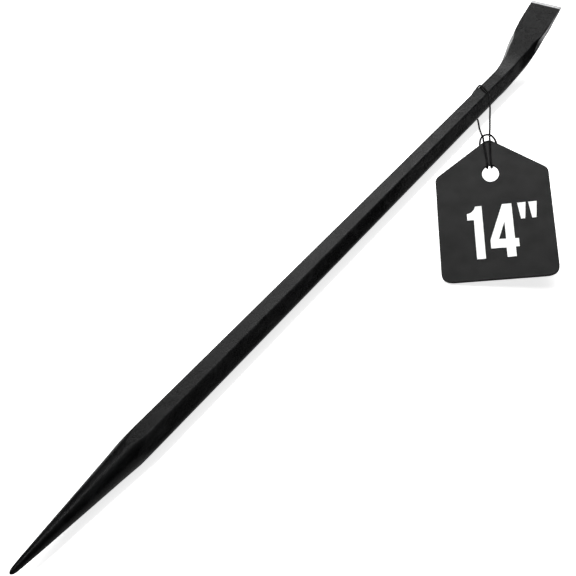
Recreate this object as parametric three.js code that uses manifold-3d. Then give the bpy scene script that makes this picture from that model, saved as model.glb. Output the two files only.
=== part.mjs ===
// Line-up pry bar with a hang tag on a tied cord, in millimetres, +Z up.
// The bar is one forging: a blunt pointed taper, a hexagonal shaft and a bent chisel blade.
// It lies on a flat along X, tip at -X, blade curving up at +X. The origin is the middle of the
// bar's footprint on the floor. The tag lies on the -Y side, propped on its stiff cord.

import * as THREE from 'three';
import { mergeVertices } from 'three/addons/utils/BufferGeometryUtils.js';
import Module from 'manifold-3d';

// ---- driving dimensions ----
const barLength = 355.6;
const acrossFlats = 9.525;
const cornerBreak = 0.35;
const bendStart = barLength - 54.8;
const bendLength = 29;
const bendAngle = THREE.MathUtils.degToRad(20.9);
const bladeRun = 56.8;
const bladeHalfWidth = 7.45;
const bladeEndThickness = 1.95;
const groundBevelLength = 2.0;
const groundBevelDrop = 0.55;
const taperPivot = 49;
const restTilt = THREE.MathUtils.degToRad(0.29);

const cordRadius = 0.4;
const cordSides = 8;
const knotRadius = 1.2;

const tagHalfWidthTop = 22;
const tagHalfWidthBottom = 20.8;
const tagShoulder = 19.6;
const tagHeight = 75;
const tagThickness = 0.8;
const tagCornerRadius = 5;
const tagApexRadius = 3;
const holeCentre = new THREE.Vector2(-0.2, -19.6);
const holeHalfWidth = 3.3;
const holeHalfHeight = 4.85;
const printThickness = 0.15;
const printGap = 0.03;

// Three points of the tag's printed face: its apex and its two lower corners before rounding.
const tagApex = new THREE.Vector3(66.7, -22.3, 15);
const tagLeftFoot = new THREE.Vector3(-7.4, -41.5, 0.95);
const tagRightFoot = new THREE.Vector3(12.0, -76.2, 8);

// ---- materials ----
const blackOxide = new THREE.MeshStandardMaterial({ color: 0x2b2c2d, roughness: 0.45, metalness: 0.85 });
const waxedCord = () => new THREE.MeshStandardMaterial({ color: 0x17181a, roughness: 0.7, metalness: 0 });
const tagCard = new THREE.MeshStandardMaterial({ color: 0x2b2d2c, roughness: 0.55, metalness: 0 });
const whitePrint = () => new THREE.MeshStandardMaterial({ color: 0xf4f4f2, roughness: 0.5, metalness: 0 });

const group = new THREE.Group();

function add(name, geometry, material) {
  const mesh = new THREE.Mesh(geometry, material);
  mesh.name = name;
  group.add(mesh);
  return mesh;
}

// ---- solids ----
const wasm = await Module();
wasm.setup();

function toSolid(geometry) {
  const bare = geometry.clone();
  for (const key of Object.keys(bare.attributes)) {
    if (key !== 'position') bare.deleteAttribute(key);
  }
  const merged = mergeVertices(bare, 1e-5);
  return new wasm.Manifold(new wasm.Mesh({
    numProp: 3,
    vertProperties: new Float32Array(merged.attributes.position.array),
    triVerts: new Uint32Array(merged.index.array),
  }));
}

function toGeometry(solid) {
  const mesh = solid.getMesh();
  const geometry = new THREE.BufferGeometry();
  const points = new Float32Array((mesh.vertProperties.length / mesh.numProp) * 3);
  for (let i = 0; i < points.length / 3; i += 1) {
    for (let k = 0; k < 3; k += 1) {
      points[3 * i + k] = mesh.vertProperties[mesh.numProp * i + k];
    }
  }
  geometry.setAttribute('position', new THREE.BufferAttribute(points, 3));
  geometry.setIndex(new THREE.BufferAttribute(new Uint32Array(mesh.triVerts), 1));
  geometry.computeVertexNormals();
  return geometry;
}

// Skins a stack of closed rings, each with the same number of points, and closes both ends.
function loft(rings) {
  const count = rings[0].length;
  const points = rings.flat();
  const first = points.length;
  const middle = (ring) => ring.reduce((sum, p) => sum.add(p), new THREE.Vector3())
    .divideScalar(ring.length);
  points.push(middle(rings[0]), middle(rings[rings.length - 1]));
  const index = [];
  for (let r = 0; r + 1 < rings.length; r += 1) {
    for (let k = 0; k < count; k += 1) {
      const a = r * count + k;
      const b = r * count + ((k + 1) % count);
      index.push(a, b, a + count, b, b + count, a + count);
    }
  }
  const last = (rings.length - 1) * count;
  for (let k = 0; k < count; k += 1) {
    const next = (k + 1) % count;
    index.push(first, next, k);
    index.push(first + 1, last + k, last + next);
  }
  const geometry = new THREE.BufferGeometry();
  geometry.setAttribute('position', new THREE.Float32BufferAttribute(points.flatMap((p) => p.toArray()), 3));
  geometry.setIndex(index);
  geometry.computeVertexNormals();
  return geometry;
}

// Smooth value at s in a table of [s, value] rows.
function eased(table, s) {
  if (s <= table[0][0]) return table[0][1];
  for (let i = 1; i < table.length; i += 1) {
    if (s <= table[i][0]) {
      const t = (s - table[i - 1][0]) / (table[i][0] - table[i - 1][0]);
      return THREE.MathUtils.lerp(table[i - 1][1], table[i][1], t * t * (3 - 2 * t));
    }
  }
  return table[table.length - 1][1];
}

// ---- forged bar ----
// Six-sided section, face up: half width of the top and bottom faces, half width at the side
// corners, and thickness. Every corner is broken with a small flat.
function barSection(topHalf, sideHalf, bottomHalf, thickness) {
  const corners = [
    [topHalf, 0], [sideHalf, -thickness / 2], [bottomHalf, -thickness],
    [-bottomHalf, -thickness], [-sideHalf, -thickness / 2], [-topHalf, 0],
  ].map(([y, z]) => new THREE.Vector2(y, z));
  const ring = [];
  corners.forEach((corner, i) => {
    const before = corners[(i + 5) % 6];
    const after = corners[(i + 1) % 6];
    for (const other of [before, after]) {
      const step = Math.min(cornerBreak, 0.3 * corner.distanceTo(other));
      ring.push(corner.clone().lerp(other, step / corner.distanceTo(other)));
    }
  });
  return ring;
}

const cornerHalf = acrossFlats / Math.sqrt(3);
const topHalfTable = [
  [0, cornerHalf / 2], [6, cornerHalf / 2], [17, 3.4], [29, 4.8], [38, 7.0], [43, bladeHalfWidth - 0.1],
];
const sideHalfTable = [[0, cornerHalf], [14, cornerHalf], [33, 7.6], [40, 7.7], [bladeRun, bladeHalfWidth]];
const bottomHalfTable = [[0, cornerHalf / 2], [12, cornerHalf / 2], [30, 5.8], [44, bladeHalfWidth - 0.1]];

function thicknessAt(s) {
  // A wedge: full stock through the bend, then thinning evenly towards the edge.
  const rows = [
    [0, acrossFlats], [8, 9.9], [16, 9.9], [23, 8.5], [30, 6.3], [37, 4.6], [46, 3.1],
    [bladeRun, bladeEndThickness],
  ];
  for (let i = 1; i < rows.length; i += 1) {
    if (s <= rows[i][0]) {
      const t = (s - rows[i - 1][0]) / (rows[i][0] - rows[i - 1][0]);
      return THREE.MathUtils.lerp(rows[i - 1][1], rows[i][1], t);
    }
  }
  return bladeEndThickness;
}

function barRings() {
  const rings = [];
  const place = (x, z, angle, section) => section.map(
    (p) => new THREE.Vector3(x - p.y * Math.sin(angle), p.x, z + p.y * Math.cos(angle)),
  );
  for (const x of [-1, 100, 200, bendStart - 2]) {
    rings.push(place(x, acrossFlats, 0, barSection(cornerHalf / 2, cornerHalf, cornerHalf / 2, acrossFlats)));
  }
  let x = bendStart;
  let z = acrossFlats;
  let angle = 0;
  const steps = 36;
  const ds = (bladeRun - groundBevelLength) / steps;
  for (let i = 0; i <= steps; i += 1) {
    const s = i * ds;
    rings.push(place(x, z, angle, barSection(
      eased(topHalfTable, s), eased(sideHalfTable, s), eased(bottomHalfTable, s), thicknessAt(s),
    )));
    const u = Math.min(1, (s + ds / 2) / bendLength);
    const middle = bendAngle * u * u * (3 - 2 * u);
    x += ds * Math.cos(middle);
    z += ds * Math.sin(middle);
    const v = Math.min(1, (s + ds) / bendLength);
    angle = bendAngle * v * v * (3 - 2 * v);
  }
  x += (groundBevelLength - ds) * Math.cos(bendAngle) + groundBevelDrop * Math.sin(bendAngle);
  z += (groundBevelLength - ds) * Math.sin(bendAngle) - groundBevelDrop * Math.cos(bendAngle);
  rings.push(place(x, z, bendAngle, barSection(
    bladeHalfWidth - 0.1, bladeHalfWidth, bladeHalfWidth - 0.1, bladeEndThickness - groundBevelDrop,
  )));
  return rings;
}

// The turned point: [distance from the tip, diameter], then wide enough to clear the shaft.
const taperProfile = [
  [0, 0], [0.05, 0.5], [0.35, 1.1], [1.1, 1.75], [2.8, 2.25], [4.8, 2.65], [8.4, 3.25], [12.1, 3.85],
  [16, 4.45], [19.9, 5.05], [23.9, 5.65], [28, 6.3], [32.2, 6.95], [36.3, 7.6], [40.5, 8.25],
  [44.5, 8.95], [47.5, 9.525], [51, 10.25], [55, 11.2], [56, 40], [400, 40], [400, 0],
];

function taperEnvelope() {
  const profile = taperProfile.map(([x, d]) => new THREE.Vector2(d / 2, x));
  const turned = new THREE.LatheGeometry(profile, 72);
  // The lathe turns about Y; lay its axis along X at the shaft's centre height.
  turned.rotateZ(-Math.PI / 2);
  turned.translate(0, 0, acrossFlats / 2);
  return turned;
}

function orientOut(solidGeometry) {
  const solid = toSolid(solidGeometry);
  const volume = typeof solid.volume === 'function' ? solid.volume() : solid.getProperties().volume;
  if (volume > 0) return solid;
  const flipped = solidGeometry.clone();
  const index = flipped.index.array;
  for (let i = 0; i < index.length; i += 3) {
    [index[i + 1], index[i + 2]] = [index[i + 2], index[i + 1]];
  }
  return toSolid(flipped);
}

const barSolid = orientOut(loft(barRings())).intersect(orientOut(taperEnvelope()));
const barGeometry = toGeometry(barSolid);
// The flat nearest the point stands on the floor and the cord holds the other end up a little.
barGeometry.translate(-taperPivot, 0, 0);
barGeometry.rotateY(-restTilt);
barGeometry.computeBoundingBox();
const barBox = barGeometry.boundingBox;
const centreX = (barBox.min.x + barBox.max.x) / 2;
barGeometry.translate(-centreX, 0, -barBox.min.z);
add('forged_bar', barGeometry, blackOxide);

// ---- cord ----
function cordTube(points, stepLength = 1.9) {
  const curve = new THREE.CatmullRomCurve3(points, false, 'centripetal');
  const section = new THREE.Shape();
  for (let i = 0; i < cordSides; i += 1) {
    const a = (2 * Math.PI * i) / cordSides;
    const corner = [cordRadius * Math.cos(a), cordRadius * Math.sin(a)];
    if (i === 0) section.moveTo(...corner);
    else section.lineTo(...corner);
  }
  section.closePath();
  return new THREE.ExtrudeGeometry(section, {
    steps: Math.max(4, Math.round(curve.getLength() / stepLength)),
    bevelEnabled: false,
    extrudePath: curve,
  });
}

// Tag frame: across, along (up towards the apex) and out of the printed face.
const footMiddle = tagLeftFoot.clone().add(tagRightFoot).multiplyScalar(0.5);
const along = tagApex.clone().sub(footMiddle).normalize();
const out = tagRightFoot.clone().sub(tagLeftFoot).cross(along).normalize();
const across = along.clone().cross(out).normalize();
const tagMatrix = new THREE.Matrix4().makeBasis(across, along, out).setPosition(tagApex);
const onTag = (u, v, w) => new THREE.Vector3(u, v, w).applyMatrix4(tagMatrix);

// Over the shaft from its near ridge, off the far edge and down the far side to the knot.
const overRoute = [
  [108.0, -3.5, 11.3], [109.6, -1.2, 11.55], [111.6, 1.5, 11.55], [112.6, 3.1, 10.95],
  [112.9, 4.0, 9.7], [113.0, 4.8, 8.15], [113.1, 5.65, 6.6], [113.3, 6.15, 5.3], [113.4, 6.25, 4.3],
].map((p) => new THREE.Vector3(...p));
add('cord_over_shaft', cordTube(overRoute), waxedCord());

// Under the shaft, pinched on the floor, out to the near side.
const underRoute = [
  [112.7, 5.3, 1.15], [111.6, 4.4, 0.62], [109.0, 2.4, 0.45], [105.6, 0.4, 0.45], [103.2, -1.2, 0.45],
  [101.6, -2.45, 0.62],
].map((p) => new THREE.Vector3(...p));
add('cord_under_shaft', cordTube(underRoute), waxedCord());

// The knot: a round wrapped lump with two short tails, behind the shaft.
const knotCentre = new THREE.Vector3(113.2, 6.35, 2.35);
const lump = new THREE.SphereGeometry(knotRadius, 16, 10);
lump.scale(1.15, 0.95, 0.95);
lump.translate(...knotCentre.toArray());
const tailOne = cordTube([
  knotCentre.clone(), knotCentre.clone().add(new THREE.Vector3(2.2, 1.0, -0.7)),
  knotCentre.clone().add(new THREE.Vector3(4.6, 1.6, -1.5)),
], 1.2);
const tailTwo = cordTube([
  knotCentre.clone(), knotCentre.clone().add(new THREE.Vector3(-1.9, 1.2, -0.6)),
  knotCentre.clone().add(new THREE.Vector3(-3.6, 2.0, -1.5)),
], 1.2);
const knotSolid = orientOut(lump).add(toSolid(tailOne)).add(toSolid(tailTwo));
add('cord_knot', toGeometry(knotSolid), waxedCord());

// The two strands run from the shaft to the tag's apex.
const rightStrand = [
  new THREE.Vector3(107.45, -3.95, 11.2), new THREE.Vector3(103.5, -6.1, 11.0),
  new THREE.Vector3(98.2, -8.9, 11.2), new THREE.Vector3(88.0, -13.5, 12.4),
  new THREE.Vector3(77.0, -18.4, 14.2), onTag(0.85, 3.6, 0.25),
];
add('cord_strand_right', cordTube(rightStrand, 1.5), waxedCord());

const leftStrand = [
  new THREE.Vector3(101.0, -2.9, 0.75), new THREE.Vector3(96.7, -5.2, 2.0),
  new THREE.Vector3(87.3, -9.8, 5.6), new THREE.Vector3(76.1, -15.8, 10.0), onTag(-1.95, 3.6, -0.45),
];
add('cord_strand_left', cordTube(leftStrand, 1.5), waxedCord());

// On the tag both strands lie side by side on the printed face and dip through the hole's top edge.
[['cord_leg_right', 0.82, 0.72, 0.45, 0.35], ['cord_leg_left', -1.9, -1.8, -1.5, -1.12]].forEach(
  ([name, atApex, onEdge, onFace, atHole]) => {
    add(name, cordTube([
      onTag(atApex, 2.9, 0.3), onTag(onEdge, 0.9, 0.75), onTag(onEdge, -1.2, 0.8),
      onTag(onFace, -7, 0.75), onTag(atHole, -12.6, 0.75), onTag(atHole, -14.7, 0.72),
      onTag(atHole, -15.45, 0.35), onTag(atHole, -15.6, -0.25),
    ], 1.5), waxedCord());
  },
);

// The hitch: from the hole up behind the tag, over the apex and in front of both strands.
const hitchRoute = [
  onTag(-1.12, -15.6, -0.75), onTag(-1.2, -15.3, -1.3), onTag(-1.5, -14.0, -1.6), onTag(-2.5, -8, -1.6),
  onTag(-3.5, -3.2, -1.6), onTag(-3.85, -0.7, -0.8), onTag(-3.4, 1.1, 0.5), onTag(-2.2, 2.3, 1.55),
  onTag(-0.6, 2.7, 1.75), onTag(1.1, 2.3, 1.7), onTag(2.6, 1.2, 1.0), onTag(3.5, -0.3, -0.1),
  onTag(3.6, -1.3, -1.0), onTag(3.2, -3.6, -1.6), onTag(2.3, -8.0, -1.6), onTag(0.8, -14.0, -1.6),
  onTag(0.45, -15.3, -1.3), onTag(0.35, -15.6, -0.75),
];
add('cord_hitch', cordTube(hitchRoute, 1.4), waxedCord());

// ---- hang tag ----
// Rounds the corners of a closed outline.
function roundedOutline(corners, radii) {
  const shape = new THREE.Shape();
  const count = corners.length;
  corners.forEach((corner, i) => {
    const before = corners[(i + count - 1) % count];
    const after = corners[(i + 1) % count];
    const toBefore = before.clone().sub(corner).normalize();
    const toAfter = after.clone().sub(corner).normalize();
    const half = Math.acos(THREE.MathUtils.clamp(toBefore.dot(toAfter), -1, 1)) / 2;
    const reach = radii[i] / Math.tan(half);
    const start = corner.clone().addScaledVector(toBefore, reach);
    const end = corner.clone().addScaledVector(toAfter, reach);
    if (i === 0) shape.moveTo(start.x, start.y);
    else shape.lineTo(start.x, start.y);
    shape.quadraticCurveTo(corner.x, corner.y, end.x, end.y);
  });
  shape.closePath();
  return shape;
}

const tagOutline = roundedOutline(
  [
    new THREE.Vector2(0, 1.2), new THREE.Vector2(-tagHalfWidthTop, -tagShoulder),
    new THREE.Vector2(-tagHalfWidthBottom, -tagHeight), new THREE.Vector2(tagHalfWidthBottom, -tagHeight),
    new THREE.Vector2(tagHalfWidthTop, -tagShoulder),
  ],
  [tagApexRadius, tagCornerRadius, tagCornerRadius, tagCornerRadius, tagCornerRadius],
);
const hole = new THREE.Path();
hole.absellipse(holeCentre.x, holeCentre.y, holeHalfWidth, holeHalfHeight, 0, 2 * Math.PI, true);
tagOutline.holes.push(hole);

function onTagSheet(shape, thickness, lift) {
  const geometry = new THREE.ExtrudeGeometry(shape, {
    depth: thickness, bevelEnabled: false, curveSegments: 12,
  });
  geometry.translate(0, 0, lift);
  geometry.applyMatrix4(tagMatrix);
  return geometry;
}
add('hang_tag', onTagSheet(tagOutline, tagThickness, -tagThickness), tagCard);

// ---- printed numerals and inch marks ----
function polygon(points) {
  return new THREE.Shape(points.map(([u, v]) => new THREE.Vector2(u, v)));
}
// Plain condensed digits with a straight foot, and two straight tapered ticks for inches.
const digitTop = -37.7;
const digitFoot = -64.9;
const numeralOne = polygon([
  [-7.1, digitTop], [-4.7, digitTop], [-4.5, digitFoot], [-7.7, digitFoot], [-7.9, -44.8],
  [-10.4, -44.8], [-10.4, -41.4], [-8.8, -40.8], [-7.7, -39.4],
]);
add('numeral_one', onTagSheet(numeralOne, printThickness, printGap), whitePrint());

const numeralFour = polygon([
  [3.0, digitTop], [6.5, digitTop], [6.5, -56.05], [7.9, -56.05], [7.9, -60.1], [6.5, -60.1],
  [6.5, digitFoot], [3.25, digitFoot], [3.2, -60.25], [-2.35, -60.15], [-2.35, -55.95],
]);
numeralFour.holes.push(new THREE.Path([
  new THREE.Vector2(3.35, -55.85), new THREE.Vector2(3.3, -46.9), new THREE.Vector2(0.7, -55.8),
]));
add('numeral_four', onTagSheet(numeralFour, printThickness, printGap), whitePrint());

[['inch_mark_left', 8.7], ['inch_mark_right', 12.8]].forEach(([name, u]) => {
  const mark = polygon([[u, digitTop], [u + 3.1, digitTop], [u + 2.3, -46.2], [u + 0.8, -46.2]]);
  add(name, onTagSheet(mark, printThickness, printGap), whitePrint());
});

export default group;
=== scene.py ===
import math
import bpy
import bmesh
from mathutils import Matrix, Vector


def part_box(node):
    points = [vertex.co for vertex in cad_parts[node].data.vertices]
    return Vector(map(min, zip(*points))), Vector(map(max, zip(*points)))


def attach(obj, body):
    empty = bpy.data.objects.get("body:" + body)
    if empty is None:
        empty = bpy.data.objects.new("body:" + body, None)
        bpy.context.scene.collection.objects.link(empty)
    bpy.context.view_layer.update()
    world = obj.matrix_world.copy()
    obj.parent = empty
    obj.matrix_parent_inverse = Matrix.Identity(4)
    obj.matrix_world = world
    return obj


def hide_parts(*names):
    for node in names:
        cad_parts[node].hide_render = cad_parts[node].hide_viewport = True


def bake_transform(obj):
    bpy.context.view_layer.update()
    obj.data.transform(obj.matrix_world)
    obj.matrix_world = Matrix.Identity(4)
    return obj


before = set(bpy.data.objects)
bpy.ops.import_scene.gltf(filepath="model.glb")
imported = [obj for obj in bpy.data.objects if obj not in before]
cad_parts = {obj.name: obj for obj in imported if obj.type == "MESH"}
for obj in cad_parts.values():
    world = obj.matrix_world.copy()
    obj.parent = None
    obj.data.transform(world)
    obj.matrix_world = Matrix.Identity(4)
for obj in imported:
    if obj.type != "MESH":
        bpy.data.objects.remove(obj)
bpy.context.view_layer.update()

MM = 0.001  # shapes are worked out in millimetres

# ---------------------------------------------------------------- camera
CAMERA_LENS = 56.58
CAMERA_PLACE = (-0.23859, -0.13963, 0.22045)
CAMERA_BACK = (-0.6030, -0.4383, 0.6665)
CAMERA_SIDE = (0.5665, -0.8235, -0.0291)

camera_data = bpy.data.cameras.new("camera")
camera_data.sensor_width = 36
camera_data.lens = CAMERA_LENS
camera = bpy.data.objects.new("camera", camera_data)
bpy.context.collection.objects.link(camera)
back = Vector(CAMERA_BACK).normalized()
side = Vector(CAMERA_SIDE)
side = (side - side.dot(back) * back).normalized()
rise = back.cross(side)
turn = Matrix((side, rise, back)).transposed().to_4x4()
camera.matrix_world = Matrix.Translation(CAMERA_PLACE) @ turn
camera_data.clip_start = 0.01
bpy.context.scene.camera = camera


def link(name, mesh):
    piece = bpy.data.objects.new(name, mesh)
    bpy.context.collection.objects.link(piece)
    return piece


# ---------------------------------------------------------------- node helpers
def new_material(name):
    material = bpy.data.materials.new(name)
    material.use_nodes = True
    tree = material.node_tree
    tree.nodes.clear()
    output = tree.nodes.new("ShaderNodeOutputMaterial")
    shader = tree.nodes.new("ShaderNodeBsdfPrincipled")
    tree.links.new(shader.outputs[0], output.inputs[0])
    return material, tree, shader


def noise(tree, scale, detail=6, rough=0.55, stretch=(1, 1, 1), distortion=0.0):
    place = tree.nodes.new("ShaderNodeTexCoord")
    mapping = tree.nodes.new("ShaderNodeMapping")
    mapping.inputs["Scale"].default_value = stretch
    texture = tree.nodes.new("ShaderNodeTexNoise")
    texture.inputs["Scale"].default_value = scale
    texture.inputs["Detail"].default_value = detail
    texture.inputs["Roughness"].default_value = rough
    texture.inputs["Distortion"].default_value = distortion
    tree.links.new(place.outputs["Object"], mapping.inputs["Vector"])
    tree.links.new(mapping.outputs["Vector"], texture.inputs["Vector"])
    return texture.outputs["Fac"]


def ramp(tree, source, stops):
    node = tree.nodes.new("ShaderNodeValToRGB")
    elements = node.color_ramp.elements
    while len(elements) < len(stops):
        elements.new(0.5)
    for element, (place, value) in zip(elements, stops):
        element.position = place
        element.color = (*value, 1) if isinstance(value, tuple) else (value, value, value, 1)
    tree.links.new(source, node.inputs[0])
    return node.outputs[0]


def attribute(tree, name):
    node = tree.nodes.new("ShaderNodeAttribute")
    node.attribute_name = name
    return node.outputs["Fac"]


def mix(tree, factor, a, b):
    node = tree.nodes.new("ShaderNodeMix")
    node.data_type = "RGBA"
    for socket, value in ((node.inputs[0], factor), (node.inputs[6], a), (node.inputs[7], b)):
        if isinstance(value, (int, float)):
            socket.default_value = value
        elif isinstance(value, tuple):
            socket.default_value = (*value, 1)
        else:
            tree.links.new(value, socket)
    return node.outputs[2]


def calc(tree, operation, a, b, c=0.0):
    node = tree.nodes.new("ShaderNodeMath")
    node.operation = operation
    node.inputs[2].default_value = c
    for socket, value in ((node.inputs[0], a), (node.inputs[1], b)):
        if isinstance(value, (int, float)):
            socket.default_value = value
        else:
            tree.links.new(value, socket)
    return node.outputs[0]


def bump(tree, shader, height, strength, distance):
    node = tree.nodes.new("ShaderNodeBump")
    node.inputs["Strength"].default_value = strength
    node.inputs["Distance"].default_value = distance
    tree.links.new(height, node.inputs["Height"])
    tree.links.new(node.outputs[0], shader.inputs["Normal"])


# ---------------------------------------------------------------- tag frame
apex = Vector((66.7, -22.3, 15.0))
left_foot = Vector((-7.4, -41.5, 0.95))
right_foot = Vector((12.0, -76.2, 8.0))
along = (apex - (left_foot + right_foot) / 2).normalized()
out = (right_foot - left_foot).cross(along).normalized()
across = along.cross(out).normalized()


def on_tag(u, v, w):
    return apex + across * u + along * v + out * w


# ---------------------------------------------------------------- cord
CORD_RADIUS = 0.4


PIECES_PER_SPAN = 24


def route(points, step):
    # Centripetal curve through the points, in even steps.
    points = [Vector(p) for p in points]
    padded = [points[0] * 2 - points[1]] + points + [points[-1] * 2 - points[-2]]
    fine = []
    for a, b, c, d in zip(padded, padded[1:], padded[2:], padded[3:]):
        ta = 0.0
        tb = ta + (b - a).length ** 0.5
        tc = tb + (c - b).length ** 0.5
        td = tc + (d - c).length ** 0.5
        for k in range(PIECES_PER_SPAN):
            t = tb + (tc - tb) * k / PIECES_PER_SPAN
            ab = a * ((tb - t) / (tb - ta)) + b * ((t - ta) / (tb - ta))
            bc = b * ((tc - t) / (tc - tb)) + c * ((t - tb) / (tc - tb))
            cd = c * ((td - t) / (td - tc)) + d * ((t - tc) / (td - tc))
            abc = ab * ((tc - t) / (tc - ta)) + bc * ((t - ta) / (tc - ta))
            bcd = bc * ((td - t) / (td - tb)) + cd * ((t - tb) / (td - tb))
            fine.append(abc * ((tc - t) / (tc - tb)) + bcd * ((t - tb) / (tc - tb)))
    fine.append(points[-1])
    reach = [0.0]
    for a, b in zip(fine, fine[1:]):
        reach.append(reach[-1] + (b - a).length)
    count = max(8, round(reach[-1] / step))
    even = []
    k = 0
    for i in range(count + 1):
        s = reach[-1] * i / count
        while k + 2 < len(reach) and reach[k + 1] < s:
            k += 1
        t = (s - reach[k]) / max(1e-9, reach[k + 1] - reach[k])
        even.append(fine[k].lerp(fine[k + 1], min(1.0, t)))
    return even


def laid_tube(mesh_parts, points, radius, step=0.2, sides=18, plies=3, lay=2.6, depth=0.07):
    # A tube whose section is three round plies that turn as they go along.
    path = route(points, step)
    vertices, faces = mesh_parts
    base = len(vertices)
    tangent = (path[1] - path[0]).normalized()
    normal = tangent.orthogonal().normalized()
    travelled = 0.0
    for i, p in enumerate(path):
        ahead = path[min(i + 1, len(path) - 1)] - path[max(i - 1, 0)]
        ahead.normalize()
        turn_by = tangent.rotation_difference(ahead)
        normal = (turn_by @ normal).normalized()
        normal = (normal - normal.dot(ahead) * ahead).normalized()
        tangent = ahead
        other = tangent.cross(normal)
        if i:
            travelled += (path[i] - path[i - 1]).length
        taper = 1.0 if 0 < i < len(path) - 1 else 0.8
        for k in range(sides):
            a = 2 * math.pi * k / sides
            ply = abs(math.cos(plies / 2 * (a - 2 * math.pi * travelled / (plies * lay))))
            r = radius * taper * (1 - depth + 2 * depth * (ply - 0.35))
            vertices.append((p + normal * (r * math.cos(a)) + other * (r * math.sin(a))) * MM)
    for i in range(len(path) - 1):
        for k in range(sides):
            a = base + i * sides + k
            b = base + i * sides + (k + 1) % sides
            faces.append((a, b, b + sides, a + sides))
    faces.append(tuple(base + k for k in reversed(range(sides))))
    last = base + (len(path) - 1) * sides
    faces.append(tuple(last + k for k in range(sides)))
    return [p * MM for p in path]


def mesh_object(name, parts):
    vertices, faces = parts
    mesh = bpy.data.meshes.new(name)
    mesh.from_pydata([tuple(v) for v in vertices], [], faces)
    mesh.validate()
    mesh.polygons.foreach_set("use_smooth", [True] * len(mesh.polygons))
    mesh.update()
    return link(name, mesh)


# The loop in order, from the knot over the shaft, through the tag and back under the shaft.
over_shaft = [
    (113.3, 6.2, 3.3), (113.35, 6.25, 4.2), (113.3, 6.1, 5.3), (113.15, 5.55, 6.6), (113.0, 4.7, 8.15),
    (112.95, 3.95, 9.7), (112.6, 3.05, 10.95), (111.6, 1.5, 11.5), (109.6, -1.2, 11.55),
]
right_strand = [
    (107.8, -3.65, 11.27), (103.5, -6.1, 11.0), (98.2, -8.9, 11.2), (88.0, -13.5, 12.4),
    (77.0, -18.4, 14.2),
]
right_leg = [
    on_tag(0.85, 3.3, 0.27), on_tag(0.72, 0.9, 0.75), on_tag(0.72, -1.2, 0.72), on_tag(0.45, -7, 0.6),
    on_tag(0.35, -12.6, 0.6), on_tag(0.35, -14.7, 0.6), on_tag(0.35, -15.5, 0.2),
    on_tag(0.35, -15.65, -0.5),
]
hitch_up_behind = [
    on_tag(0.45, -15.3, -1.15), on_tag(0.8, -14.0, -1.4), on_tag(2.3, -8.0, -1.4),
    on_tag(3.2, -3.6, -1.4),
]
hitch_over_apex = [
    on_tag(3.3, -1.7, -1.05), on_tag(3.0, -0.7, -0.2), on_tag(2.2, 0.6, 0.85), on_tag(0.9, 1.5, 1.55),
    on_tag(-0.5, 1.75, 1.6), on_tag(-2.0, 1.4, 1.4), on_tag(-3.0, 0.4, 0.5), on_tag(-3.45, -1.2, -0.8),
]
hitch_down_behind = [
    on_tag(-3.5, -3.2, -1.4), on_tag(-2.5, -8.0, -1.4), on_tag(-1.5, -14.0, -1.4),
    on_tag(-1.2, -15.3, -1.15),
]
left_leg = [
    on_tag(-1.12, -15.65, -0.5), on_tag(-1.12, -15.5, 0.2), on_tag(-1.12, -14.7, 0.6),
    on_tag(-1.12, -12.6, 0.6), on_tag(-1.5, -7, 0.6), on_tag(-1.8, -1.2, 0.72),
    on_tag(-1.85, 0.9, 0.7), on_tag(-1.92, 3.3, -0.1),
]
left_strand = [
    (76.1, -15.8, 10.0), (87.3, -9.8, 5.6), (96.7, -5.2, 2.0), (101.0, -2.9, 0.75), (101.9, -2.2, 0.6),
]
under_shaft = [
    (103.2, -1.2, 0.45), (105.6, 0.4, 0.45), (109.0, 2.4, 0.45), (111.6, 4.4, 0.62), (112.8, 5.5, 1.3),
]
cord_points = (
    over_shaft + right_strand + right_leg + hitch_up_behind + hitch_over_apex + hitch_down_behind
    + left_leg + left_strand + under_shaft
)
cord_parts = ([], [])
cord_path = laid_tube(cord_parts, cord_points, CORD_RADIUS)
cord = mesh_object("cord", cord_parts)
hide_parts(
    "cord_over_shaft", "cord_under_shaft", "cord_strand_right", "cord_strand_left",
    "cord_leg_right", "cord_leg_left", "cord_hitch",
)
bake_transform(cord)

# The knot: an overhand knot pulled snug, with two short tails.
knot_centre = Vector((113.2, 6.35, 2.35))
KNOT_SCALE = 0.36
KNOT_POINTS = 36
KNOT_SIDES = 14
TAILS = (((2.2, 1.0, -0.7), (4.6, 1.6, -1.5)), ((-1.9, 1.2, -0.6), (-3.6, 2.0, -1.5)))
knot_parts = ([], [])
loop = []
for i in range(KNOT_POINTS + 1):
    t = 2 * math.pi * i / KNOT_POINTS
    loop.append(knot_centre + KNOT_SCALE * Vector((
        1.15 * (math.sin(t) + 2 * math.sin(2 * t)),
        math.cos(t) - 2 * math.cos(2 * t),
        -1.2 * math.sin(3 * t),
    )))
laid_tube(knot_parts, loop, CORD_RADIUS, sides=KNOT_SIDES)
for tail in TAILS:
    tail_points = [knot_centre] + [knot_centre + Vector(p) for p in tail]
    laid_tube(knot_parts, tail_points, CORD_RADIUS, sides=KNOT_SIDES)
knot = mesh_object("cord_overhand_knot", knot_parts)
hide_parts("cord_knot")
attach(knot, "cord_loop")

cord_material, tree, shader = new_material("waxed_cord")
strands = noise(tree, 900, 5, 0.6)
tint = ramp(tree, strands, [
    (0.3, (0.0025, 0.0025, 0.0027)), (0.6, (0.006, 0.006, 0.0065)), (0.8, (0.014, 0.014, 0.015)),
])
tree.links.new(tint, shader.inputs["Base Color"])
tree.links.new(ramp(tree, noise(tree, 600, 3), [(0.3, 0.62), (0.7, 0.8)]), shader.inputs["Roughness"])
shader.inputs["Specular IOR Level"].default_value = 0.04
bump(tree, shader, noise(tree, 2600, 4, 0.6), 0.4, 0.0001)
for piece in (cord, knot):
    piece.data.materials.append(cord_material)

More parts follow.
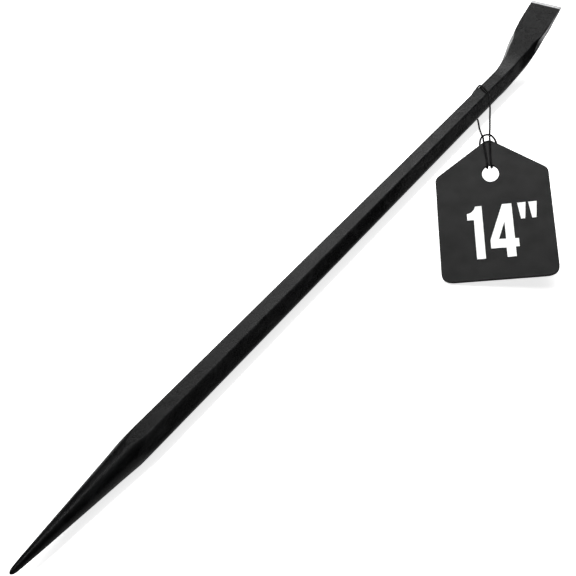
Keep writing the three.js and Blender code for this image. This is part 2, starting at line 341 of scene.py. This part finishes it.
# ---------------------------------------------------------------- forged bar
BAR_LENGTH = 355.6
FLATS = 9.525
CORNER = FLATS / math.sqrt(3)
BEND_START = BAR_LENGTH - 54.8
BEND_LENGTH = 29.0
BEND = math.radians(20.9)
RUN = 56.8  # along the blade, from the start of the bend to the ground end
BEVEL = 2.0
DROP = 0.55  # how far the ground end bevel falls
END = 1.95
HALF = 7.45
CROWN = 0.1  # the blade's sides bulge by this much at mid thickness
EDGE_TRIM = 0.12  # the very edge is drawn in by this much
TAPER_CLEAR = 60.0  # by here the taper's cone is wider than the shaft
TAPER_BLEND = 0.25  # the edge wear and painted highlight die out over this much of the cut
TIP_START = 0.05
PIVOT = 49  # the bar lies on the flat that starts here
TILT = math.radians(0.29)
FAR_WALL, NEAR_WALL = 0, 4
FACET_START = {FAR_WALL: 20, NEAR_WALL: 27}
FACET_CLIMB = 9  # its start runs back this far from the wall's foot to its top
FACET_FULL = 36  # up to here it may cover the whole wall
FACET_RISE = 20  # then its lower border climbs at one wall height in this length


def eased(table, s):
    if s <= table[0][0]:
        return table[0][1]
    for (a, va), (b, vb) in zip(table, table[1:]):
        if s <= b:
            t = (s - a) / (b - a)
            return va + (vb - va) * t * t * (3 - 2 * t)
    return table[-1][1]


def ruled(table, s):
    # Rounded steps between rows, so the wedge has no creases across it.
    if s <= table[0][0]:
        return table[0][1]
    slopes = [(vb - va) / (b - a) for (a, va), (b, vb) in zip(table, table[1:])]
    tangents = [slopes[0]] + [(p + q) / 2 for p, q in zip(slopes, slopes[1:])] + [slopes[-1]]
    for i, ((a, va), (b, vb)) in enumerate(zip(table, table[1:])):
        if s <= b:
            h = b - a
            t = (s - a) / h
            return (
                (2 * t**3 - 3 * t**2 + 1) * va + (t**3 - 2 * t**2 + t) * h * tangents[i]
                + (-2 * t**3 + 3 * t**2) * vb + (t**3 - t**2) * h * tangents[i + 1]
            )
    return table[-1][1]


# Half-widths and thickness along the blade, each as (place, size).
TOP = [(0, CORNER / 2), (6, CORNER / 2), (17, 3.4), (29, 4.8), (38, 7.0), (43, HALF - CROWN)]
SIDE = [(0, CORNER), (14, CORNER), (33, 7.6), (40, 7.7), (RUN, HALF)]
BOTTOM = [(0, CORNER / 2), (12, CORNER / 2), (30, 5.8), (44, HALF - CROWN)]
THICK = [(0, FLATS), (8, 9.9), (16, 9.9), (23, 8.5), (30, 6.3), (37, 4.6), (46, 3.1), (RUN, END)]
# Round taper: distance from the tip and diameter.
TAPER = [
    (0.05, 0.5), (0.35, 1.1), (1.1, 1.75), (2.8, 2.25), (4.8, 2.65), (8.4, 3.25), (12.1, 3.85), (16, 4.45),
    (19.9, 5.05), (23.9, 5.65), (28, 6.3), (32.2, 6.95), (36.3, 7.6), (40.5, 8.25), (44.5, 8.95),
    (47.5, 9.525), (51, 10.25), (55, 11.2), (60, 12.4),
]
ARC = 6  # steps round each corner
FLAT = 10  # steps along each flat
WEAR_AND_HIGHLIGHT_FADE = 9  # how fast the edge wear and painted highlight die out along a flat


def section(top, side, bottom, thick, fillet):
    corners = [
        Vector((top, 0)), Vector((side, -thick / 2)), Vector((bottom, -thick)),
        Vector((-bottom, -thick)), Vector((-side, -thick / 2)), Vector((-top, 0)),
    ]
    arcs = []
    for i, corner in enumerate(corners):
        before = corners[i - 1] - corner
        after = corners[(i + 1) % 6] - corner
        reach = min(fillet, 0.35 * before.length, 0.35 * after.length)
        start = corner + before.normalized() * reach
        finish = corner + after.normalized() * reach
        arc = []
        for k in range(ARC + 1):
            t = k / ARC
            arc.append(start * (1 - t) ** 2 + corner * 2 * t * (1 - t) + finish * t * t)
        arcs.append(arc)
    ring = []
    marks = []
    for i in range(6):
        for k, p in enumerate(arcs[i]):
            ring.append(p)
            marks.append((i, 1.0 - abs(2 * k / ARC - 1) * 0.5, "corner"))
        following = arcs[(i + 1) % 6][0]
        for k in range(1, FLAT):
            t = k / FLAT
            ring.append(arcs[i][-1].lerp(following, t))
            marks.append((i, t, "flat"))
    return ring, marks


bar_vertices = []
bar_wear_and_highlight = []
bar_ground = []
stations = []


def station(x, z, angle, top, side, bottom, thick, s, fillet, on_bevel=0.0):
    ring, marks = section(top, side, bottom, thick, fillet)
    limit = None
    if x < TAPER_CLEAR:
        limit = max(0.05, ruled(TAPER, x) / 2)
    for p, (face, t, kind) in zip(ring, marks):
        y, h = p
        # Corner points get the lightened edge colour: partly edge wear, partly a painted highlight along
        # the ridges.
        edge = t if kind == "corner" else max(0.0, 1 - min(t, 1 - t) * WEAR_AND_HIGHLIGHT_FADE) * 0.5
        if limit is not None:
            centre = Vector((0, -FLATS / 2))
            arm = Vector((y, h)) - centre
            if arm.length > limit:
                blend = min(1.0, (arm.length - limit) / TAPER_BLEND)
                arm = arm.normalized() * limit
                edge = max(0.0, edge * (1 - blend))
                y, h = centre + arm
        # Ground side facets: each runs in from the flare, then keeps to the upper part of the wall.
        ground = on_bevel
        if kind == "flat" and face in FACET_START:
            upper = 1 - t if face == FAR_WALL else t
            first = FACET_START[face] + FACET_CLIMB * upper
            if s > first and upper > (s - FACET_FULL) / FACET_RISE:
                ground = 1.0
        bar_vertices.append(Vector((x - h * math.sin(angle), y, z + h * math.cos(angle))))
        bar_wear_and_highlight.append(edge)
        bar_ground.append(ground)
    stations.append(x)
    return len(ring)


FILLET = 0.55
BEVEL_FILLET = 0.22
FILLET_LOSS = 0.25  # the blade's corners are this much sharper, from FILLET_RUN on
FILLET_RUN = 45
SHAFT_STEP = 4.0
BLADE_STEPS = 110
STRAIGHT = -1  # the shaft has no place along the blade
x = TIP_START
# Stations are closest at the tip, where the diameter changes fastest.
while x < TAPER_CLEAR:
    count = station(x, FLATS, 0, CORNER / 2, CORNER, CORNER / 2, FLATS, STRAIGHT, FILLET)
    x += 0.12 if x < 1.2 else (0.35 if x < 4 else 0.7)
x = TAPER_CLEAR
while x < BEND_START - 1:
    station(x, FLATS, 0, CORNER / 2, CORNER, CORNER / 2, FLATS, STRAIGHT, FILLET)
    x += SHAFT_STEP
ds = (RUN - BEVEL) / BLADE_STEPS
x, z, angle = BEND_START, FLATS, 0.0
for i in range(BLADE_STEPS + 1):
    s = i * ds
    station(
        x, z, angle, eased(TOP, s), eased(SIDE, s), eased(BOTTOM, s), ruled(THICK, s), s,
        FILLET - FILLET_LOSS * min(1, s / FILLET_RUN),
    )
    if i == BLADE_STEPS:
        break
    u = min(1, (s + ds / 2) / BEND_LENGTH)
    x += ds * math.cos(BEND * u * u * (3 - 2 * u))
    z += ds * math.sin(BEND * u * u * (3 - 2 * u))
    v = min(1, (s + ds) / BEND_LENGTH)
    angle = BEND * v * v * (3 - 2 * v)
for k in (0.04, 0.5, 0.93, 1.0):
    drop = DROP * k
    run = BEVEL * k
    trim = EDGE_TRIM if k == 1.0 else 0
    station(
        x + run * math.cos(BEND) + drop * math.sin(BEND),
        z + run * math.sin(BEND) - drop * math.cos(BEND),
        BEND, HALF - CROWN - trim, HALF - trim, HALF - CROWN - trim,
        ruled(THICK, RUN - BEVEL + run) - drop, RUN, BEVEL_FILLET, on_bevel=1.0,
    )

rows = len(stations)
faces = []
for r in range(rows - 1):
    for k in range(count):
        a = r * count + k
        b = r * count + (k + 1) % count
        faces.append((a, a + count, b + count, b))
tip = len(bar_vertices)
bar_vertices.append(Vector((0.0, 0, FLATS / 2)))
bar_vertices.append(sum((bar_vertices[(rows - 1) * count + k] for k in range(count)), Vector()) / count)
for values, at_tip, at_end in ((bar_wear_and_highlight, 0, 0), (bar_ground, 0, 1)):
    values += [at_tip, at_end]
for k in range(count):
    b = (k + 1) % count
    faces.append((tip, k, b))
    faces.append((tip + 1, (rows - 1) * count + b, (rows - 1) * count + k))

# Lie on the flat, tilted by the cord beneath the far end, with the footprint's middle at the origin.
placed = []
for p in bar_vertices:
    dx = p.x - PIVOT
    placed.append(Vector((
        dx * math.cos(TILT) - p.z * math.sin(TILT), p.y, dx * math.sin(TILT) + p.z * math.cos(TILT),
    )))
low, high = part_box("forged_bar")
shift_x = high[0] / MM - max(p.x for p in placed)
shift_z = low[2] / MM - min(p.z for p in placed)
mesh = bpy.data.meshes.new("forged_bar_fine")
mesh.from_pydata([tuple((p + Vector((shift_x, 0, shift_z))) * MM) for p in placed], [], faces)
# "edge" holds the lightened corners (edge wear and painted highlight); "ground" holds the bare ground
# steel.
for name, values in (("edge", bar_wear_and_highlight), ("ground", bar_ground)):
    layer = mesh.attributes.new(name, "FLOAT", "POINT")
    layer.data.foreach_set("value", values)
mesh.polygons.foreach_set("use_smooth", [True] * len(mesh.polygons))
mesh.update()
work = bmesh.new()
work.from_mesh(mesh)
bmesh.ops.recalc_face_normals(work, faces=work.faces)
SHARP = math.radians(38)
for edge in work.edges:
    if edge.calc_face_angle(0) > SHARP:
        edge.smooth = False
work.to_mesh(mesh)
work.free()
bar = link("forged_bar_fine", mesh)
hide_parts("forged_bar")
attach(bar, "bar")

material, tree, shader = new_material("black_oxide_steel")
scale_marks = noise(tree, 210, 9, 0.62, (0.55, 1, 1), 0.6)
fine = noise(tree, 1500, 5, 0.6)
broad = noise(tree, 60, 4, 0.5, (0.6, 1, 1), 0.4)
oxide = ramp(tree, scale_marks, [
    (0.28, (0.0008, 0.0008, 0.0009)), (0.5, (0.0022, 0.0023, 0.0024)), (0.72, (0.007, 0.0072, 0.0074)),
])
oxide = mix(tree, ramp(tree, broad, [(0.42, 0.0), (0.68, 0.5)]), oxide, (0.001, 0.001, 0.0011))
# Lighter corners: partly edge wear, partly a painted highlight along the ridges, broken up by noise.
wear_and_highlight_breakup = ramp(tree, noise(tree, 260, 8, 0.7), [(0.35, 0.15), (0.62, 1.0)])
wear_and_highlight_mask = calc(tree, "MULTIPLY", attribute(tree, "edge"), wear_and_highlight_breakup)
oxide = mix(tree, calc(tree, "MULTIPLY", wear_and_highlight_mask, 0.75), oxide, (0.02, 0.0203, 0.0206))
streak = noise(tree, 420, 6, 0.6, (0.25, 3.0, 3.0))
bare = ramp(tree, streak, [
    (0.3, (0.13, 0.132, 0.135)), (0.5, (0.21, 0.21, 0.213)), (0.75, (0.33, 0.33, 0.33)),
])
ground_mask = ramp(tree, attribute(tree, "ground"), [(0.35, 0.0), (0.65, 1.0)])
tree.links.new(mix(tree, ground_mask, oxide, bare), shader.inputs["Base Color"])
rough_oxide = ramp(tree, scale_marks, [(0.3, 0.2), (0.7, 0.36)])
rough_bare = ramp(tree, streak, [(0.3, 0.3), (0.7, 0.46)])
tree.links.new(mix(tree, ground_mask, rough_oxide, rough_bare), shader.inputs["Roughness"])
tree.links.new(calc(tree, "MULTIPLY", ground_mask, 0.85), shader.inputs["Metallic"])
shader.inputs["Specular IOR Level"].default_value = 0.05
height = calc(tree, "ADD", scale_marks, calc(tree, "MULTIPLY", fine, 0.3))
bump(tree, shader, height, 0.6, 0.0003)
bar.data.materials.append(material)

# ---------------------------------------------------------------- tag
def rounded(corners, radii, steps=10):
    points = []
    for i, corner in enumerate(corners):
        before = (corners[i - 1] - corner).normalized()
        after = (corners[(i + 1) % len(corners)] - corner).normalized()
        half = math.acos(max(-1, min(1, before.dot(after)))) / 2
        reach = radii[i] / math.tan(half)
        a, b = corner + before * reach, corner + after * reach
        for k in range(steps + 1):
            t = k / steps
            points.append(a * (1 - t) ** 2 + corner * 2 * t * (1 - t) + b * t * t)
    return points


TAG_SHOULDER = -19.6
TAG_FOOT = -75
TAG_HALF_TOP = 22
TAG_HALF_FOOT = 20.8
TAG_THICKNESS = 0.8
HOLE_CENTRE = (-0.2, -19.6)
HOLE_HALF_WIDTH = 3.3
HOLE_HALF_HEIGHT = 4.85
HOLE_POINTS = 48
outline = rounded(
    [
        Vector((0, 1.2)), Vector((-TAG_HALF_TOP, TAG_SHOULDER)), Vector((-TAG_HALF_FOOT, TAG_FOOT)),
        Vector((TAG_HALF_FOOT, TAG_FOOT)), Vector((TAG_HALF_TOP, TAG_SHOULDER)),
    ],
    [3, 5, 5, 5, 5],
)
hole = []
for k in range(HOLE_POINTS):
    a = -2 * math.pi * k / HOLE_POINTS
    hole.append(Vector((
        HOLE_CENTRE[0] + HOLE_HALF_WIDTH * math.cos(a), HOLE_CENTRE[1] + HOLE_HALF_HEIGHT * math.sin(a),
    )))


def sheet_piece(name, loops, thickness, lift, edge):
    # A flat card with softly rounded arrises, from closed outlines, on the tag's plane.
    curve = bpy.data.curves.new(name, "CURVE")
    curve.dimensions = "2D"
    curve.fill_mode = "BOTH"
    curve.extrude = (thickness / 2 - edge) * MM
    curve.bevel_depth = edge * MM
    curve.bevel_resolution = 2
    curve.offset = -edge * MM
    for loop_points in loops:
        spline = curve.splines.new("POLY")
        spline.points.add(len(loop_points) - 1)
        for point, p in zip(spline.points, loop_points):
            point.co = (p.x * MM, p.y * MM, 0, 1)
        spline.use_cyclic_u = True
    holder = bpy.data.objects.new(name + "_outline", curve)
    bpy.context.collection.objects.link(holder)
    bpy.context.view_layer.update()
    finished = holder.evaluated_get(bpy.context.evaluated_depsgraph_get())
    mesh = bpy.data.meshes.new_from_object(finished)
    bpy.data.objects.remove(holder)
    basis = Matrix((across, along, out)).transposed().to_4x4()
    raised = Matrix.Translation((0, 0, (lift + thickness / 2) * MM))
    mesh.transform(Matrix.Translation(apex * MM) @ basis @ raised)
    work = bmesh.new()
    work.from_mesh(mesh)
    bmesh.ops.remove_doubles(work, verts=work.verts, dist=1e-6)
    bmesh.ops.recalc_face_normals(work, faces=work.faces)
    work.to_mesh(mesh)
    work.free()
    mesh.name = name
    return link(name, mesh)


tag = sheet_piece("hang_tag_card", [outline, hole], TAG_THICKNESS, -TAG_THICKNESS, 0.12)
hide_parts("hang_tag")
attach(tag, "tag")
tag_material, tree, shader = new_material("tag_card")
card = noise(tree, 40, 5, 0.5)
fibre = noise(tree, 1400, 4, 0.6)
tone = ramp(tree, card, [(0.3, (0.0026, 0.0027, 0.0027)), (0.7, (0.0046, 0.0049, 0.0047))])
fleck = calc(tree, "MULTIPLY", fibre, 0.12)
tree.links.new(mix(tree, fleck, tone, (0.012, 0.012, 0.012)), shader.inputs["Base Color"])
tree.links.new(ramp(tree, noise(tree, 160, 5), [(0.3, 0.48), (0.7, 0.6)]), shader.inputs["Roughness"])
shader.inputs["Specular IOR Level"].default_value = 0.08
bump(tree, shader, fibre, 0.12, 0.00005)
tag.data.materials.clear()
tag.data.materials.append(tag_material)

print_material, tree, shader = new_material("white_print")
ink = noise(tree, 900, 5, 0.6)
white = ramp(tree, ink, [(0.25, (0.86, 0.86, 0.85)), (0.6, (0.94, 0.94, 0.93))])
tree.links.new(white, shader.inputs["Base Color"])
tree.links.new(ramp(tree, ink, [(0.3, 0.5), (0.7, 0.62)]), shader.inputs["Roughness"])
bump(tree, shader, ink, 0.1, 0.00003)
for name in ("numeral_one", "numeral_four", "inch_mark_left", "inch_mark_right"):
    node = bpy.data.objects.get(name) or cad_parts[name]
    if not node.material_slots:
        node.data.materials.append(print_material)
    for holder in node.material_slots:
        holder.material = print_material

# ---------------------------------------------------------------- floor and light
REACH = 6
floor_mesh = bpy.data.meshes.new("floor")
floor_mesh.from_pydata(
    [(-REACH, -REACH, 0), (REACH, -REACH, 0), (REACH, REACH, 0), (-REACH, REACH, 0)], [], [(0, 1, 2, 3)],
)
floor = link("floor", floor_mesh)
floor_material, tree, shader = new_material("floor")
shader.inputs["Base Color"].default_value = (0.9, 0.9, 0.9, 1)
shader.inputs["Emission Color"].default_value = (1, 1, 1, 1)
# Floor and world are brighter to the camera than to the part, for a white background.
seen = tree.nodes.new("ShaderNodeLightPath").outputs["Is Camera Ray"]
tree.links.new(calc(tree, "MULTIPLY_ADD", seen, 0.45, 0.35), shader.inputs["Emission Strength"])
shader.inputs["Roughness"].default_value = 0.9
shader.inputs["Specular IOR Level"].default_value = 0.0
floor.data.materials.append(floor_material)


def area_light(name, place, target, size, power):
    data = bpy.data.lights.new(name, "AREA")
    data.shape = "RECTANGLE"
    data.size, data.size_y = size
    data.energy = power
    light = bpy.data.objects.new(name, data)
    bpy.context.collection.objects.link(light)
    light.location = place
    light.rotation_euler = (Vector(target) - Vector(place)).to_track_quat("-Z", "Y").to_euler()


area_light("overhead", (0.45, 0.35, 1.4), (0, 0, 0), (2.4, 2.4), 11)
area_light("top_strip", (0.0, 0.2, 1.1), (0, 0, 0), (1.1, 0.14), 9)
area_light("back_box", (0.72, 0.55, 0.8), (0, 0, 0), (0.9, 0.5), 10)

world = bpy.data.worlds.new("studio")
bpy.context.scene.world = world
world.use_nodes = True
tree = world.node_tree
background = tree.nodes["Background"]
background.inputs[0].default_value = (1, 1, 1, 1)
seen = tree.nodes.new("ShaderNodeLightPath").outputs["Is Camera Ray"]
tree.links.new(calc(tree, "MULTIPLY_ADD", seen, 0.8, 0.03), background.inputs[1])
bpy.context.scene.view_settings.view_transform = "Standard"
